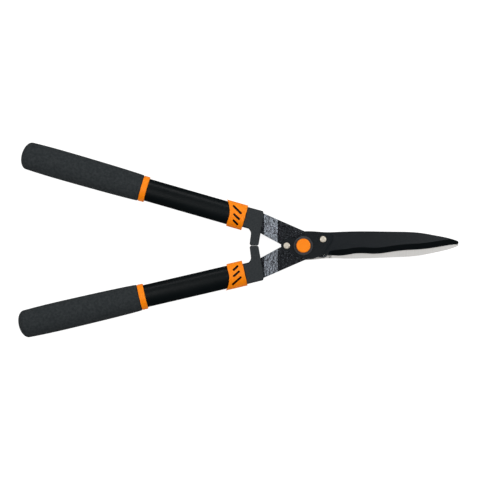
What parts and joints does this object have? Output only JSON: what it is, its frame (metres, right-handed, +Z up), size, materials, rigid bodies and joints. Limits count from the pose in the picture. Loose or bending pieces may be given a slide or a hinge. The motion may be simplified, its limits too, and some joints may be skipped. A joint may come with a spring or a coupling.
{
  "type": "hedge shears",
  "caption": "Long-handled hedge shears: two wavy blades worked through a lever linkage, tubular handles with foam grips.",
  "frame": {"origin": "pivot axis, on the flat underside of the pivot bolt's head, level with the undersides of the grips, which is the plane the shears rest on", "axes": "+X from the pivot to the blade tips along the closed shears' centre line, +Z up the pivot bolt to the capped side"},
  "size_m": [0.5866, 0.2612, 0.0293],
  "materials": {
    "blade_coating": "black low-friction coating on the outer face, ground steel bevel and inner face",
    "hammered_paint": "hammered grey paint over stamped steel",
    "gloss_black_tube": "gloss black powder coat over steel tube",
    "head_plastic": "charcoal moulded plastic, fine grain",
    "orange_plastic": "moulded orange plastic, satin",
    "foam_grip": "charcoal closed-cell foam, matte",
    "nickel_rivet": "nickel plated, satin",
    "zinc_steel": "zinc plated steel",
    "dark_steel": "blackened steel"
  },
  "bodies": {
    "lower_handle": {"lower_tube": "gloss_black_tube", "lower_arm_pins": "dark_steel", "lower_head": "head_plastic", "lower_collar": "orange_plastic", "lower_ring": "orange_plastic", "lower_grip": "foam_grip", "lower_end_plug": "head_plastic", "lower_arm": "hammered_paint", "pivot_bolt": "zinc_steel", "pivot_sleeve": "zinc_steel", "pivot_nut": "zinc_steel", "pivot_cap": "orange_plastic", "front_pivot_washer": "dark_steel", "rear_pivot_washer": "dark_steel", "front_thrust_washer": "zinc_steel", "middle_thrust_washer": "zinc_steel", "rear_thrust_washer": "zinc_steel", "front_link_rivet": "nickel_rivet", "front_link_washer": "zinc_steel"},
    "upper_handle": {"upper_tube": "gloss_black_tube", "upper_arm_pins": "dark_steel", "upper_head": "head_plastic", "upper_collar": "orange_plastic", "upper_ring": "orange_plastic", "upper_grip": "foam_grip", "upper_end_plug": "head_plastic", "upper_arm": "hammered_paint", "rear_link_rivet": "nickel_rivet", "rear_link_washer": "zinc_steel"},
    "front_blade": {"front_blade": "blade_coating", "tail_rivet": "nickel_rivet", "tail_spacer": "zinc_steel"},
    "rear_blade": {"rear_blade": "blade_coating"}
  },
  "joints": [
    {"name": "handle_pivot", "type": "hinge", "parent": "lower_handle", "child": "upper_handle", "pos_m": [0, 0, 0.0135], "axis": [0, 0, -1], "range_deg": [0, 60]},
    {"name": "front_blade_link", "type": "hinge", "parent": "lower_handle", "child": "front_blade", "pos_m": [0.0263, 0.0085, 0.0135], "axis": [0, 0, -1], "range_deg": [0, 14.93]},
    {"name": "rear_blade_link", "type": "hinge", "parent": "upper_handle", "child": "rear_blade", "pos_m": [0.0263, -0.0085, 0.0135], "axis": [0, 0, -1], "range_deg": [-14.93, 0]}
  ],
  "couplings": [
    {"joint": "front_blade_link", "follows": "handle_pivot", "ratio": 0.24883},
    {"joint": "rear_blade_link", "follows": "handle_pivot", "ratio": -0.24883}
  ]
}
